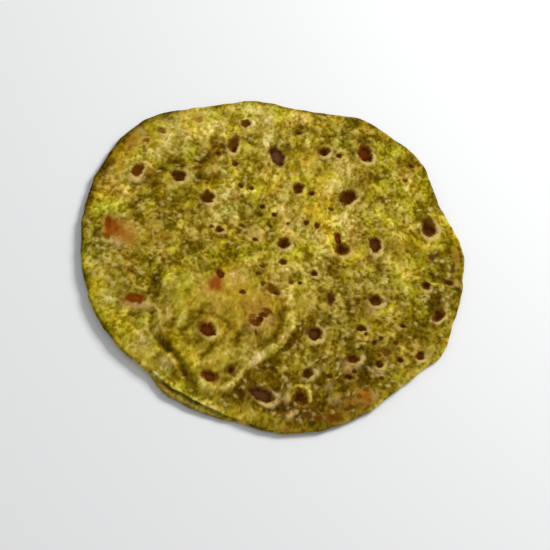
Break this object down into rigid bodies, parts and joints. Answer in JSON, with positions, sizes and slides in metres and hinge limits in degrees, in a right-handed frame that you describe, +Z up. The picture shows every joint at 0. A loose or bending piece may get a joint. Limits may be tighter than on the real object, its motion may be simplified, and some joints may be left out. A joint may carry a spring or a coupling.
{
  "type": "paratha flatbread",
  "caption": "Round pan-fried green flatbread with an uneven rim, low waves, a puffed pocket, charred blisters and a short split along its rim.",
  "frame": {"origin": "centre of the bounding box's bottom face, on the surface that the bread lies on", "axes": "+Z up out of the browned upper face, +X to the right, +Y away from a viewer who has the split rim in front"},
  "size_m": [0.2012, 0.2054, 0.0079],
  "materials": {
    "bread": "mottled olive and mustard dough with green herb flecks, dark brown charred spots and a faint oily gloss"
  },
  "bodies": {
    "root": {"paratha": "bread"}
  },
  "joints": []
}
